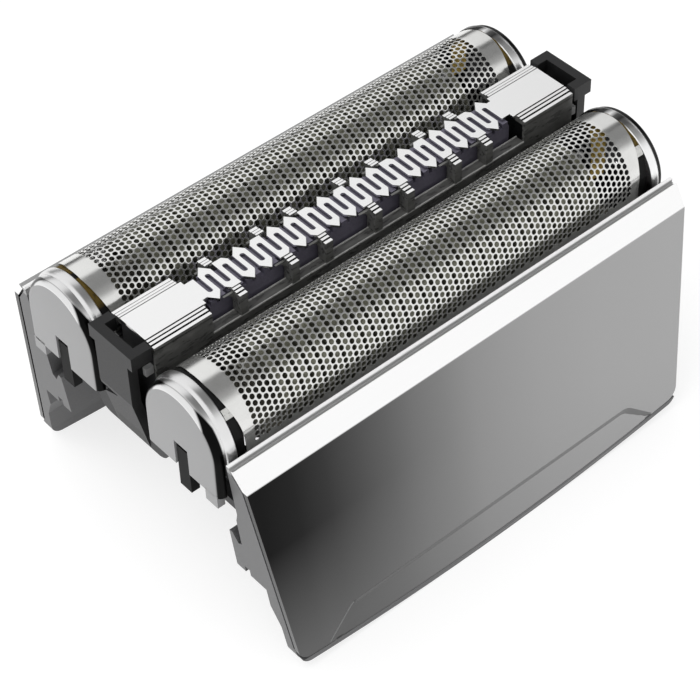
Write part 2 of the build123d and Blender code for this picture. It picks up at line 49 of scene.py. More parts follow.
# foils, in mm
foil_y = 7.4
foil_r = 4.1
foil_axis_z = 22.0
foil_half = 21.5
foil_end_start = 19.9
foil_end_line = ((0, 21.5), (12, 21.5), (33, 21.28), (48, 21.08), (65, 20.8), (90, 20.55), (360, 20.55))
foil_foot_z = 18.25
sheet_t = 0.06
hole_columns = 76
hole_field_half = 19.45
hole_row_deg = 7.5
hole_row_last = 13
hole_r = 0.226
hole_sides = 12
hole_sink = 0.012

# cutters
blade_r = 3.65
blade_wall = 0.9
blade_t = 0.64
blade_pitch = 1.04
blade_field_half = 16.2
blade_foot_z = 20.45

# trimmer guard
guard_half = 21.73
guard_top_z = 25.81
guard_t = 0.25
plate_y = 1.55
wall_y = 2.6
step_lines = ((1.66, 1.87, 25.76), (1.97, 2.2, 25.7), (2.32, 2.6, 25.62))
groove_depth = 0.05
groove_taper = 0.015
rib_drop = 0.01
end_rib_foot_z = 25.2
end_wall_top_z = 25.3
pitch = 1.7
tooth_count = 18
first_tooth_x = -(tooth_count / 2 - 0.25) * pitch
tip_y = 1.88
root_y = 1.12
tip_blunt = 0.05
slot_w = 0.44
slot_end_y = 0.88
half_w = (pitch - slot_w) / 2
joined_teeth = {2: 1, 5: -1, 7: 1, 10: -1, 12: 1, 15: -1, 17: 1}
plate_start = 15.95
post_w = 0.75
post_inner_y = 1.6
window_half = 16.25
sill_z = 23.6
guard_foot_z = 19.62
gusset_w = 0.95
gusset_h = 0.9
# edges of the sill, painted bright as highlights: y0, y1, z0, z1
sill_edges = ((-wall_y - 0.005, -wall_y + 0.09, sill_z - 0.12, sill_z),
              (-post_inner_y - 0.16, -post_inner_y - 0.06, sill_z - 0.1, sill_z + 0.05))

# blade under the guard
trim_blade_half = 15.6
trim_blade_y = 1.45
trim_blade_t = 0.3
trim_blade_top_z = 25.46
trim_blade_foot_z = 20.5
trim_tooth_y = 1.0
trim_tooth_h = 0.45
trim_tooth_gap = 0.3

# end rings and caps
ring_r = 4.6
ring_wall = 0.95
ring_axis_z = 21.35
ring_foot_z = 20.0
ring_back = 21.7
ring_front = 22.6
cap_r = 4.47
cap_face = 23.57
cap_front_t = 0.7
cap_foot_z = 17.75
cap_rim_r = 3.85
cap_valley_r = 4.36
cap_far_face = 23.15
cap_slot_w = 1.6
cap_slot_top_z = 20.3
cap_tab_w = 1.8
cap_tab_h = 1.05

# side covers: outline of the recess in the main face, as x and height over the cover's lower corners
cover_crease = (14.47, 20.2)
cover_foot = (17.2, 1.514)
recess_line = ((-18.1, -0.2), (-15.85, 1.79), (-15.6, 2.0), (-15.3, 2.16), (-15.0, 2.25), (-14.69, 2.29))
recess_depth = 0.345
recess_end_points = 4
recess_end_slope_w = 0.3
recess_slope_w = 0.75
recess_light_w = 0.2
recess_floor_half = 18.2
recess_floor_under = 0.12
recess_floor_past = 0.33
panel_edge_r = 220.0
panel_foot_half = 21.1
# painted reflection on the main face, darker towards the near end: share of the length from the near end,
# brightness
painted_sheen_line = ((0.0, 0.006), (0.07, 0.014), (0.14, 0.036), (0.21, 0.074), (0.28, 0.118), (0.35, 0.176),
              (0.42, 0.224), (0.49, 0.285), (0.56, 0.317), (0.65, 0.35), (0.8, 0.38), (1.0, 0.395))
# painted reflection on the far rings: degrees from the top towards -Y, brightness
far_ring_painted_sheen = ((-90, 0.03), (-17, 0.03), (-9, 0.85), (-3, 0.1), (4, 0.03), (12, 0.3), (21, 0.92),
                 (76, 0.92), (90, 0.2))

# small leaves inside the foils: x0, x1, radius, thickness, degrees from the top, lean of the ends per degree
latch_span = (20.9, 21.65, 4.06, 0.2, 44, 56)
gold_leaf_spans = {"left": (17.5, 19.1, 3.8, 0.08, -24, 22, -0.06),
                   "right": (18.9, 20.5, 3.8, 0.08, -8, 50, 0.06)}
# chrome nubs placed inside the foils as painted highlights, a glint seen through the holes
glint_nub_spans = {"left": (15.2, 15.7, 3.85, 0.1, -24, -14), "right": (16.4, 17.0, 3.85, 0.1, 12, 20)}

# leaf springs: joint, height of the foot, how far the piece over them sinks
spring_travel = {"foil_springs_left": ("foil_left_float", 14.0, 1.8),
                 "foil_springs_right": ("foil_right_float", 14.0, 1.8),
                 "trimmer_springs": ("trimmer_float", 14.6, 1.5)}


# materials
def node_of(tree, kind, **values):
    node = tree.nodes.new(kind)
    for name, value in values.items():
        node.inputs[name.replace("_", " ")].default_value = value
    return node


def base_material(name, color, roughness, metallic=0.0, coat=0.0):
    """A principled material whose colour and roughness are still plain."""
    material = bpy.data.materials.new(name)
    material.use_nodes = True
    tree = material.node_tree
    shader = tree.nodes["Principled BSDF"]
    shader.inputs["Base Color"].default_value = (*color, 1)
    shader.inputs["Roughness"].default_value = roughness
    shader.inputs["Metallic"].default_value = metallic
    shader.inputs["Coat Weight"].default_value = coat
    shader.inputs["Coat Roughness"].default_value = 0.12
    return material, tree, shader


def object_noise(tree, stretch, scale, detail=3.0):
    """Noise in object coordinates, stretched per axis."""
    place = tree.nodes.new("ShaderNodeTexCoord")
    mapping = tree.nodes.new("ShaderNodeMapping")
    mapping.inputs["Scale"].default_value = stretch
    noise = node_of(tree, "ShaderNodeTexNoise", Scale=scale, Detail=detail)
    tree.links.new(place.outputs["Object"], mapping.inputs["Vector"])
    tree.links.new(mapping.outputs["Vector"], noise.inputs["Vector"])
    return noise


def remap(tree, source, low, high, to_low, to_high):
    node = node_of(tree, "ShaderNodeMapRange", From_Min=low, From_Max=high, To_Min=to_low, To_Max=to_high)
    tree.links.new(source, node.inputs["Value"])
    return node.outputs["Result"]


def mix_color(tree, factor, a, b):
    mix = tree.nodes.new("ShaderNodeMix")
    mix.data_type = "RGBA"
    for socket, value in ((6, a), (7, b)):
        if isinstance(value, tuple):
            mix.inputs[socket].default_value = (*value, 1)
        else:
            tree.links.new(value, mix.inputs[socket])
    tree.links.new(factor, mix.inputs[0])
    return mix.outputs[2]


def bump(tree, shader, height, strength, distance):
    node = node_of(tree, "ShaderNodeBump", Strength=strength, Distance=distance)
    tree.links.new(height, node.inputs["Height"])
    tree.links.new(node.outputs["Normal"], shader.inputs["Normal"])


def spread(tree, noise, low, high):
    """The middle of a noise's range, stretched from low to high."""
    return remap(tree, noise.outputs["Fac"], 0.3, 0.7, low, high)


def finish_material(name, color, roughness, metallic, stretch, scale, shade, rough_span, bump_mm, coat=0.0):
    """Base material with noise in its colour, roughness and surface."""
    material, tree, shader = base_material(name, color, roughness, metallic, coat)
    noise = object_noise(tree, stretch, scale)
    dark = tuple(c * shade for c in color)
    tree.links.new(mix_color(tree, spread(tree, noise, 0, 1), dark, color), shader.inputs["Base Color"])
    tree.links.new(spread(tree, noise, roughness - rough_span, roughness + rough_span),
                   shader.inputs["Roughness"])
    bump(tree, shader, noise.outputs["Fac"], 0.5, bump_mm * MM)
    return material


def math_node(tree, operation, *values):
    node = tree.nodes.new("ShaderNodeMath")
    node.operation = operation
    for socket, value in zip(node.inputs, values):
        if isinstance(value, (int, float)):
            socket.default_value = value
        else:
            tree.links.new(value, socket)
    return node.outputs[0]


def axis_value(tree, axis):
    place = tree.nodes.new("ShaderNodeTexCoord")
    split = tree.nodes.new("ShaderNodeSeparateXYZ")
    tree.links.new(place.outputs["Object"], split.inputs["Vector"])
    return split.outputs[axis]


def angle_value(tree, centre_z):
    """Degrees from the top of the nearer foil's arch, the same to both sides."""
    side = math_node(tree, "ABSOLUTE", axis_value(tree, "Y"))
    off = math_node(tree, "ABSOLUTE", math_node(tree, "SUBTRACT", side, foil_y * MM))
    up = math_node(tree, "SUBTRACT", axis_value(tree, "Z"), centre_z * MM)
    return math_node(tree, "DEGREES", math_node(tree, "ARCTAN2", off, up))


def lean_value(tree, centre_z):
    """Degrees from the top of the nearer foil's arch, positive towards -Y."""
    centre = math_node(tree, "MULTIPLY", math_node(tree, "SIGN", axis_value(tree, "Y")), foil_y * MM)
    off = math_node(tree, "SUBTRACT", centre, axis_value(tree, "Y"))
    up = math_node(tree, "SUBTRACT", axis_value(tree, "Z"), centre_z * MM)
    return math_node(tree, "DEGREES", math_node(tree, "ARCTAN2", off, up))


def grey_ramp(tree, factor, stops):
    """Colour ramp of greys through (position, grey) stops."""
    node = tree.nodes.new("ShaderNodeValToRGB")
    elements = node.color_ramp.elements
    for position, value in stops[1:-1]:
        elements.new(position)
    for element, (position, value) in zip(elements, stops):
        element.position = position
        element.color = (value, value, value, 1)
    tree.links.new(factor, node.inputs["Fac"])
    return node.outputs["Color"]


# colour, roughness, metallic, the noise's stretch and scale, its darkest shade, its span of roughness,
# its bump in mm and the coat
plain_finishes = {
    "foil_metal": ((0.77, 0.77, 0.755), 0.16, 0.88, (1, 1, 1), 900, 0.95, 0.03, 0.001),
    "guard_metal": ((0.92, 0.92, 0.92), 0.2, 1.0, (0.04, 1, 1), 16000, 0.96, 0.04, 0.001),
    # the guard's walls, rib risers, bridges and underside, painted darker as shade
    "guard_painted_shade": ((0.17, 0.17, 0.163), 0.3, 0.35, (0.3, 1, 1), 2500, 0.5, 0.06, 0.004),
    # painted shade in the grooves between the ribs
    "groove_painted_shade": ((0.03, 0.03, 0.03), 0.4, 0.5, (0.3, 1, 1), 6000, 0.6, 0.05, 0.002),
    "blade_metal": ((0.15, 0.14, 0.185), 0.36, 0.45, (1, 0.05, 1), 9000, 0.75, 0.08, 0.003),
    "cutter_metal": ((0.21, 0.21, 0.16), 0.35, 0.4, (1, 1, 1), 3000, 0.7, 0.08, 0.004),
    "cap_satin": ((0.285, 0.285, 0.288), 0.32, 0.0, (1, 1, 1), 8000, 0.97, 0.03, 0.002, 0.2),
    "spring_metal": ((0.55, 0.55, 0.55), 0.3, 1.0, (0.1, 1, 1), 6000, 0.85, 0.06, 0.003),
    "cutter_plastic": ((0.13, 0.125, 0.1), 0.45, 0.0, (1, 1, 1), 6000, 0.85, 0.05, 0.008),
    "tab_metal": ((0.62, 0.62, 0.6), 0.3, 0.4, (1, 1, 1), 4000, 0.8, 0.05, 0.003),
    "gold_leaf": ((0.34, 0.24, 0.05), 0.5, 0.3, (1, 1, 1), 3500, 0.45, 0.08, 0.006)}
finish = {name: finish_material(name, *values) for name, values in plain_finishes.items()}


def chrome_material():
    """Polished steel: a dark streak painted on the near caps' rounded edge as a reflection, a painted sheen
    on the far bows, and the far caps' edge painted dark.
    """
    material, tree, shader = base_material("chrome", (0.78, 0.78, 0.78), 0.28, 1.0)
    # painted reflection: a dark streak on the near caps' rounded edge, widening down the sides
    streak_x, streak_half, streak_soft = 23.18 * MM, 0.38 * MM, 0.06 * MM
    angle = angle_value(tree, ring_axis_z)
    along = math_node(tree, "ABSOLUTE", axis_value(tree, "X"))
    width = remap(tree, angle, 22, 48, 0, streak_half)
    off = math_node(tree, "ABSOLUTE", math_node(tree, "SUBTRACT", along, streak_x))
    streak = remap(tree, math_node(tree, "SUBTRACT", width, off), -streak_soft, streak_soft, 0, 1)
    color = mix_color(tree, streak, (0.78, 0.78, 0.78), (0.006, 0.006, 0.006))
    # painted reflection on the far rings, by lean from the top
    lean = remap(tree, lean_value(tree, ring_axis_z), -90, 90, 0, 1)
    painted_far_sheen = grey_ramp(tree, lean, [((degrees + 90) / 180, value) for degrees, value in far_ring_painted_sheen])
    # the far caps' edge beyond the rings painted dark
    cap_start = remap(tree, along, 22.58 * MM, 22.64 * MM, 0, 1)
    painted_far_sheen = mix_color(tree, cap_start, painted_far_sheen, (0.03, 0.03, 0.03))
    color = mix_color(tree, remap(tree, axis_value(tree, "X"), -1 * MM, 1 * MM, 0, 1), color, painted_far_sheen)
    tree.links.new(color, shader.inputs["Base Color"])
    noise = object_noise(tree, (1, 1, 1), 500)
    tree.links.new(spread(tree, noise, 0.27, 0.31), shader.inputs["Roughness"])
    bump(tree, shader, noise.outputs["Fac"], 0.3, 0.001 * MM)
    return material


def moulding_material():
    """Grey moulding with a bright top edge, a paler groove beside it, and painted light on its inner wall
    beside the foil.
    """
    material, tree, shader = base_material("grey_plastic", (0.16, 0.16, 0.163), 0.42)
    noise = object_noise(tree, (1, 1, 1), 7000)
    body = mix_color(tree, spread(tree, noise, 0, 1), (0.105, 0.105, 0.107), (0.125, 0.125, 0.127))
    along = math_node(tree, "ABSOLUTE", axis_value(tree, "X"))
    side = math_node(tree, "ABSOLUTE", axis_value(tree, "Y"))
    # the inner wall beside the foil, painted paler as light so the foil reflects it bright
    facing = math_node(tree, "MULTIPLY", remap(tree, along, 21.2 * MM, 21.4 * MM, 1, 0),
                       remap(tree, side, 12.5 * MM, 12.55 * MM, 1, 0))
    facing = math_node(tree, "MULTIPLY", facing, remap(tree, axis_value(tree, "Z"), 15 * MM, 16 * MM, 0, 1))
    body = mix_color(tree, facing, body, (0.6, 0.6, 0.6))
    high = remap(tree, axis_value(tree, "Z"), 21.2 * MM, 21.3 * MM, 0, 1)
    top = remap(tree, axis_value(tree, "Z"), 21.9 * MM, 21.97 * MM, 0, 1)
    groove = mix_color(tree, high, body, (0.36, 0.36, 0.36))
    tree.links.new(mix_color(tree, top, groove, (0.9, 0.9, 0.9)), shader.inputs["Base Color"])
    tree.links.new(spread(tree, noise, 0.38, 0.46), shader.inputs["Roughness"])
    bump(tree, shader, noise.outputs["Fac"], 0.4, 0.006 * MM)
    return material


def base_block_material():
    """Near-black trimmer base with its end stubs in paler grey."""
    material, tree, shader = base_material("base_block", (0.02, 0.02, 0.021), 0.6)
    shader.inputs["Specular IOR Level"].default_value = 0.12
    noise = object_noise(tree, (1, 1, 1), 6000)
    ends = remap(tree, math_node(tree, "ABSOLUTE", axis_value(tree, "X")), 21.74 * MM, 21.78 * MM, 0, 1)
    dark = mix_color(tree, noise.outputs["Fac"], (0.012, 0.012, 0.013), (0.03, 0.03, 0.031))
    tree.links.new(mix_color(tree, ends, dark, (0.24, 0.24, 0.24)), shader.inputs["Base Color"])
    bump(tree, shader, noise.outputs["Fac"], 0.4, 0.008 * MM)
    return material


def cover_material(name, shade, metallic=1.0):
    """Bright metal skin: a near-white band over a main face whose colour carries a painted reflection that
    lightens along its length, with painted light towards its lower near corner.
    """
    material, tree, shader = base_material(name, (0.5, 0.5, 0.5), 0.2, metallic)
    height = axis_value(tree, "Z")
    along = remap(tree, axis_value(tree, "X"), -22 * MM, 21 * MM, 0, 1)
    # painted reflection: the main face's colour lightens along its length
    sheen = grey_ramp(tree, along, [(position, value * 0.9 * shade) for position, value in painted_sheen_line])
    # painted light: paler towards the lower near corner
    low = math_node(tree, "MULTIPLY", remap(tree, height, 13.5 * MM, 2 * MM, 0, 1),
                    remap(tree, along, 0.1, 0.6, 1, 0))
    painted_sheen_and_lift = mix_color(tree, math_node(tree, "MULTIPLY", low, 0.26 * shade), sheen, (0.42, 0.42, 0.42))
    band = remap(tree, height, 20.15 * MM, 20.25 * MM, 0, 1)
    tree.links.new(mix_color(tree, band, painted_sheen_and_lift, (0.97, 0.97, 0.97)), shader.inputs["Base Color"])
    noise = object_noise(tree, (0.05, 1, 1), 9000)
    tree.links.new(spread(tree, noise, 0.2, 0.26), shader.inputs["Roughness"])
    bump(tree, shader, noise.outputs["Fac"], 0.3, 0.001 * MM)
    return material


def frame_material():
    """Matte dark plastic, with painted shade making it blacker on its top rims, inside the brackets and on
    its inward sides.
    """
    material, tree, shader = base_material("dark_plastic", (0.075, 0.075, 0.077), 0.5)
    shader.inputs["Specular IOR Level"].default_value = 0.36
    noise = object_noise(tree, (1, 1, 1), 9000)
    body = mix_color(tree, spread(tree, noise, 0, 1), (0.026, 0.026, 0.027), (0.031, 0.031, 0.032))
    # painted shade on the top rims
    high = remap(tree, axis_value(tree, "Z"), 25.86 * MM, 25.9 * MM, 0, 1)
    rim = mix_color(tree, high, body, (0.011, 0.011, 0.0115))
    along = math_node(tree, "ABSOLUTE", axis_value(tree, "X"))
    side = math_node(tree, "ABSOLUTE", axis_value(tree, "Y"))
    # painted shade inside the brackets
    inside = math_node(tree, "MULTIPLY", remap(tree, side, 1.74 * MM, 1.77 * MM, 1, 0),
                       remap(tree, along, 23.01 * MM, 23.04 * MM, 1, 0))
    inside = math_node(tree, "MULTIPLY", inside, remap(tree, high, 0, 1, 1, 0))
    # painted shade on faces that turn to ±Y
    facing = tree.nodes.new("ShaderNodeNewGeometry")
    split = tree.nodes.new("ShaderNodeSeparateXYZ")
    tree.links.new(facing.outputs["Normal"], split.inputs["Vector"])
    painted_side_shade = remap(tree, math_node(tree, "ABSOLUTE", split.outputs["Y"]), 0.75, 0.95, 0, 0.8)
    dark = math_node(tree, "MAXIMUM", inside, painted_side_shade)
    tree.links.new(mix_color(tree, dark, rim, (0.008, 0.008, 0.008)), shader.inputs["Base Color"])
    tree.links.new(spread(tree, noise, 0.45, 0.55), shader.inputs["Roughness"])
    bump(tree, shader, noise.outputs["Fac"], 0.5, 0.01 * MM)
    return material


def former_material():
    """Near-black moulding with brown-gold patches on its arched formers."""
    material, tree, shader = base_material("former_plastic", (0.006, 0.006, 0.006), 0.6)
    shader.inputs["Specular IOR Level"].default_value = 0.15
    noise = object_noise(tree, (1, 1, 1), 2500)
    angle = angle_value(tree, foil_axis_z)
    patch = math_node(tree, "ABSOLUTE", math_node(tree, "SUBTRACT", angle, 27.0))
    place = math_node(tree, "MAXIMUM", remap(tree, axis_value(tree, "X"), -1 * MM, 1 * MM, 0, 1),
                      remap(tree, axis_value(tree, "Y"), -1 * MM, 1 * MM, 0, 1))
    near = math_node(tree, "MULTIPLY", remap(tree, patch, 18, 24, 1, 0), noise.outputs["Fac"])
    near = math_node(tree, "MULTIPLY", near, place)
    gold = mix_color(tree, noise.outputs["Fac"], (0.03, 0.018, 0.002), (0.13, 0.09, 0.02))
    color = mix_color(tree, remap(tree, near, 0.1, 0.4, 0, 1), (0.006, 0.006, 0.006), gold)
    tree.links.new(color, shader.inputs["Base Color"])
    bump(tree, shader, noise.outputs["Fac"], 0.4, 0.006 * MM)
    return material


chrome = chrome_material()
grey_plastic = moulding_material()
base_block = base_block_material()
cover_metal = cover_material("cover_metal", 1.0)
# the recess's bevelled edge: its slope painted dark as shade, and a line beside it painted paler as light
painted_recess_shade = cover_material("recess_edge", 0.34, 0.0)
painted_recess_highlight = cover_material("recess_highlight_paint", 1.15, 0.0)
dark_plastic = frame_material()
former_plastic = former_material()


# mesh helpers
def wrap_piece(name, mesh, material, body, replaced=(), smooth_deg=35.0):
    """A piece of the object that rides a body. A list of materials follows the faces' own numbers."""
    numbers = [p.material_index for p in mesh.polygons]
    mesh.materials.clear()
    for entry in material if isinstance(material, list) else [material]:
        mesh.materials.append(entry)
    if isinstance(material, list):
        for polygon, number in zip(mesh.polygons, numbers):
            polygon.material_index = number
    mesh.shade_smooth()
    mesh.set_sharp_from_angle(angle=math.radians(smooth_deg))
    piece = bpy.data.objects.new(name, mesh)
    bpy.context.scene.collection.objects.link(piece)
    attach(piece, body)
    if replaced:
        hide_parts(*replaced)
    return piece


def baked(mesh, *modifiers):
    """The mesh with the modifiers applied."""
    holder = bpy.data.objects.new("holder", mesh)
    bpy.context.scene.collection.objects.link(holder)
    for kind, values in modifiers:
        modifier = holder.modifiers.new(kind.lower(), kind)
        for key, value in values.items():
            setattr(modifier, key, value)
    depsgraph = bpy.context.evaluated_depsgraph_get()
    result = bpy.data.meshes.new_from_object(holder.evaluated_get(depsgraph))
    bpy.data.objects.remove(holder)
    return result


def add_prism(bm, points, low, high, axis):
    """A closed prism of 2-D points along an axis: (y, z) points for X, (x, z) for Y and (x, y) for Z."""
    place = "XYZ".index(axis)
    rings = []
    for value in (low, high):
        corners = [(*point[:place], value, *point[place:]) for point in points]
        rings.append([bm.verts.new(Vector(c) * MM) for c in corners])
    bm.faces.new(rings[0])
    bm.faces.new(rings[1][::-1])
    count = len(points)
    for k in range(count):
        n = (k + 1) % count
        bm.faces.new((rings[0][k], rings[0][n], rings[1][n], rings[1][k]))


def add_box(bm, x0, x1, y0, y1, z0, z1):
    add_prism(bm, [(x0, y0), (x1, y0), (x1, y1), (x0, y1)], z0, z1, "Z")


def mirrored(mesh, x=1, y=1, turn=False):
    """A copy of a mesh, mirrored or turned half round about Z."""
    copy = mesh.copy()
    if turn:
        copy.transform(Matrix.Rotation(math.pi, 4, "Z"))
        return copy
    copy.transform(Matrix.Diagonal((x, y, 1, 1)))
    if x * y < 0:
        copy.flip_normals()
    return copy


def mesh_from(name, bm, number=0):
    """The mesh of a bmesh, its faces outward and all given one material number."""
    bmesh.ops.recalc_face_normals(bm, faces=bm.faces)
    for face in bm.faces:
        face.material_index = number
    mesh = bpy.data.meshes.new(name)
    bm.to_mesh(mesh)
    bm.free()
    return mesh


def add_arch_sweep(bm, profile, axis_z, foot_z, segments, solid):
    """A D-shaped body from (x, radius) points: a band with a closed profile, or a solid end piece."""
    lines = []
    for x, radius in profile:
        arch = arch_line(radius, axis_z, foot_z, segments)
        lines.append([bm.verts.new((x * MM, y * MM, z * MM)) for y, z in arch])
    count = len(lines[0])
    pairs = list(zip(lines, lines[1:]))
    if not solid:
        pairs.append((lines[-1], lines[0]))
    for a, b in pairs:
        for k in range(count if solid else count - 1):
            n = (k + 1) % count
            bm.faces.new((a[k], a[n], b[n], b[k]))
    if solid:
        bm.faces.new(lines[0][::-1])
        bm.faces.new(lines[-1])
    else:
        bm.faces.new([line[0] for line in lines])
        bm.faces.new([line[-1] for line in lines][::-1])


def arch_line(radius, axis_z, foot_z, segments):
    """(y, z) points of a D shape about foil_y, from the right foot over the top to the left foot."""
    line = [(foil_y - radius, foot_z)]
    for k in range(segments + 1):
        angle = math.pi * k / segments
        line.append((foil_y - radius * math.cos(angle), axis_z + radius * math.sin(angle)))
    line.append((foil_y + radius, foot_z))
    return line


# foils
def end_at(angle):
    """How far the foil reaches along X, at an angle from the top of its arch."""
    for (a0, x0), (a1, x1) in zip(foil_end_line, foil_end_line[1:]):
        if angle <= a1:
            return x0 + (x1 - x0) * (angle - a0) / (a1 - a0)
    return foil_end_line[-1][1]


def foil_mesh():
    """The perforated foil, laid out flat as six-sided cells, cut to size and wrapped over its arch."""
    column_step = 2 * hole_field_half / (hole_columns - 1)
    row_step = math.radians(hole_row_deg) * foil_r
    side_s = math.pi / 2 * foil_r + foil_axis_z - foil_foot_z
    third, half = column_step / 3, row_step / 2
    corners = [(2 * third, 0), (third, half), (-third, half),
               (-2 * third, 0), (-third, -half), (third, -half)]
    bm = bmesh.new()
    known = {}

    def vert(x, s):
        key = (round(x, 4), round(s, 4))
        if key not in known:
            known[key] = bm.verts.new((x, s, 0))
        return known[key]

    extra = math.ceil((foil_half - hole_field_half) / column_step) + 1
    rows = math.ceil(side_s / row_step) + 1
    for column in range(-extra, hole_columns + extra):
        x = -hole_field_half + column * column_step
        odd = column % 2
        for row in range(-rows, rows + 1):
            s = (row + odd / 2) * row_step
            ring = []
            for k in range(6):
                a = corners[k]
                b = corners[(k + 1) % 6]
                ring.append(vert(x + a[0], s + a[1]))
                ring.append(vert(x + (a[0] + b[0]) / 2, s + (a[1] + b[1]) / 2))
            inside = 0 <= column < hole_columns and abs(row + odd / 2) <= hole_row_last + 0.1
            if not inside:
                bm.faces.new(ring)
                continue
            rim = []
            for k in range(hole_sides):
                angle = 2 * math.pi * k / hole_sides
                rim_x, rim_s = x + hole_r * math.cos(angle), s + hole_r * math.sin(angle)
                rim.append(bm.verts.new((rim_x, rim_s, -hole_sink)))
            for k in range(hole_sides):
                n = (k + 1) % hole_sides
                bm.faces.new((ring[k], ring[n], rim[n], rim[k]))
    for point, normal in (((foil_half, 0, 0), (1, 0, 0)), ((-foil_half, 0, 0), (-1, 0, 0)),
                          ((0, side_s, 0), (0, 1, 0)), ((0, -side_s, 0), (0, -1, 0))):
        geometry = bm.verts[:] + bm.edges[:] + bm.faces[:]
        bmesh.ops.bisect_plane(bm, geom=geometry, plane_co=point, plane_no=normal, clear_outer=True,
                               dist=1e-6)
    quarter = math.pi / 2 * foil_r
    for v in bm.verts:
        x, s, h = v.co
        if abs(s) <= quarter:
            angle = s / foil_r
            y = (foil_r + h) * math.sin(angle)
            z = foil_axis_z + (foil_r + h) * math.cos(angle)
        else:
            y = math.copysign(foil_r + h, s)
            z = foil_axis_z - (abs(s) - quarter)
        if abs(x) > foil_end_start:
            end = end_at(abs(math.degrees(s / foil_r)))
            along = (abs(x) - foil_end_start) / (foil_half - foil_end_start)
            x = math.copysign(foil_end_start + along * (end - foil_end_start), x)
        v.co = (x * MM, (foil_y + y) * MM, z * MM)
    mesh = mesh_from("foil", bm)
    centre = Vector((0, foil_y * MM, foil_axis_z * MM))
    outward = 0.0
    for polygon in mesh.polygons[:200]:
        outward += polygon.normal.dot(Vector((0, polygon.center.y, polygon.center.z)) - centre)
    if outward < 0:
        mesh.flip_normals()
    return baked(mesh, ("SOLIDIFY", {"thickness": sheet_t * MM, "offset": -1.0}))


# cutters
def cutter_mesh():
    """A row of arched blades under the foil."""
    bm = bmesh.new()
    outer = arch_line(blade_r, foil_axis_z, blade_foot_z, 20)
    inner = arch_line(blade_r - blade_wall, foil_axis_z, blade_foot_z, 20)
    count = int(2 * blade_field_half / blade_pitch) + 1
    for k in range(count):
        x = (k - (count - 1) / 2) * blade_pitch
        add_prism(bm, outer + inner[::-1], x - blade_t / 2, x + blade_t / 2, "X")
    return mesh_from("cutter", bm)


# trimmer guard
def slot_arc(x, y, radius, segments=6):
    """Round end of a slot open to -Y, from its -X side to its +X side."""
    points = []
    for k in range(segments + 1):
        angle = math.pi * (1 - k / segments)
        points.append((x + radius * math.cos(angle), y - radius + radius * math.sin(angle)))
    return points


def tooth_x(number):
    """Middle of a tooth of the right edge, counted from 1 at the near end."""
    return first_tooth_x + (number - 1) * pitch


def comb_edge():
    """Right edge of the comb towards +X, with round slot ends and slightly blunt points."""
    points = [(-guard_half, -plate_y), (-plate_start, -plate_y), (-plate_start, -root_y)]
    slope_x = half_w * (tip_y - plate_y) / (tip_y - root_y)
    for k in range(tooth_count):
        x = tooth_x(k + 1)
        points.append((x - half_w, -root_y))
        square = joined_teeth.get(k + 1)
        if square is None:
            points += [(x - tip_blunt, -tip_y + tip_blunt), (x, -tip_y), (x + tip_blunt, -tip_y + tip_blunt)]
        elif square > 0:
            points += [(x - slope_x, -plate_y), (x + half_w, -plate_y)]
        else:
            points += [(x - half_w, -plate_y), (x + slope_x, -plate_y)]
        points.append((x + half_w, -root_y))
        points += slot_arc(x + pitch / 2, slot_end_y, slot_w / 2)
    points += [(first_tooth_x + (tooth_count - 0.5) * pitch + slot_w / 2, -root_y), (plate_start, -root_y),
               (plate_start, -plate_y), (guard_half, -plate_y)]
    return points


def stair(inner_y, bottom_z):
    """Profile of the ribbed edge, from the flat top out to the wall and back under."""
    top_z = guard_top_z - rib_drop
    line = [(-inner_y, top_z), (-plate_y, top_z)] if inner_y < plate_y else []
    edge = max(inner_y, plate_y)
    for near, far, top in step_lines:
        low = top - groove_depth
        line += [(-edge - groove_taper, low), (-near + groove_taper, low), (-near, top), (-far, top)]
        edge = far
    return line + [(-wall_y, bottom_z), (-inner_y, bottom_z)]


def number_ribs(mesh):
    """Material numbers: 0 for flat tops, 2 for grooves and 1 for walls, the last two taking painted shade."""
    tops = [top for near, far, top in step_lines] + [guard_top_z - rib_drop]
    for polygon in mesh.polygons:
        z = polygon.center.z / MM
        flat = polygon.normal.z > 0.9 and min(abs(z - top) for top in tops) < 0.012
        groove = not flat and z > step_lines[-1][2] - groove_depth - 0.06 and abs(polygon.normal.x) < 0.5
        polygon.material_index = 0 if flat else 2 if groove else 1


def guard_side():
    """Right wall with its sill, posts and ribbed edges."""
    ends = ((-guard_half, -window_half), (window_half, guard_half))
    ribs = bmesh.new()
    for x0, x1 in ends:
        add_prism(ribs, stair(plate_y - 0.1, end_rib_foot_z), x0, x1, "X")
    for number in joined_teeth:
        x = tooth_x(number)
        add_prism(ribs, stair(post_inner_y, sill_z - 0.1), x - post_w / 2, x + post_w / 2, "X")
    rib_mesh = mesh_from("ribs", ribs)
    number_ribs(rib_mesh)
    walls = bmesh.new()
    for x0, x1 in ends:
        add_box(walls, x0, x1, -wall_y, -wall_y + guard_t, guard_foot_z, end_wall_top_z)
    add_box(walls, -window_half, window_half, -wall_y, -wall_y + guard_t, guard_foot_z, sill_z - 0.05)
    add_box(walls, -window_half, window_half, -wall_y + 0.05, -post_inner_y, sill_z - guard_t, sill_z - 0.03)
    for number in joined_teeth:
        add_gusset(walls, tooth_x(number) - post_w / 2)
    wall_mesh = mesh_from("walls", walls, 1)
    # thin lips along the sill, painted bright as highlights
    edges = bmesh.new()
    for sides in sill_edges:
        add_box(edges, -window_half, window_half, *sides)
    edge_mesh = mesh_from("edges", edges, 3)
    return [rib_mesh, wall_mesh, edge_mesh]


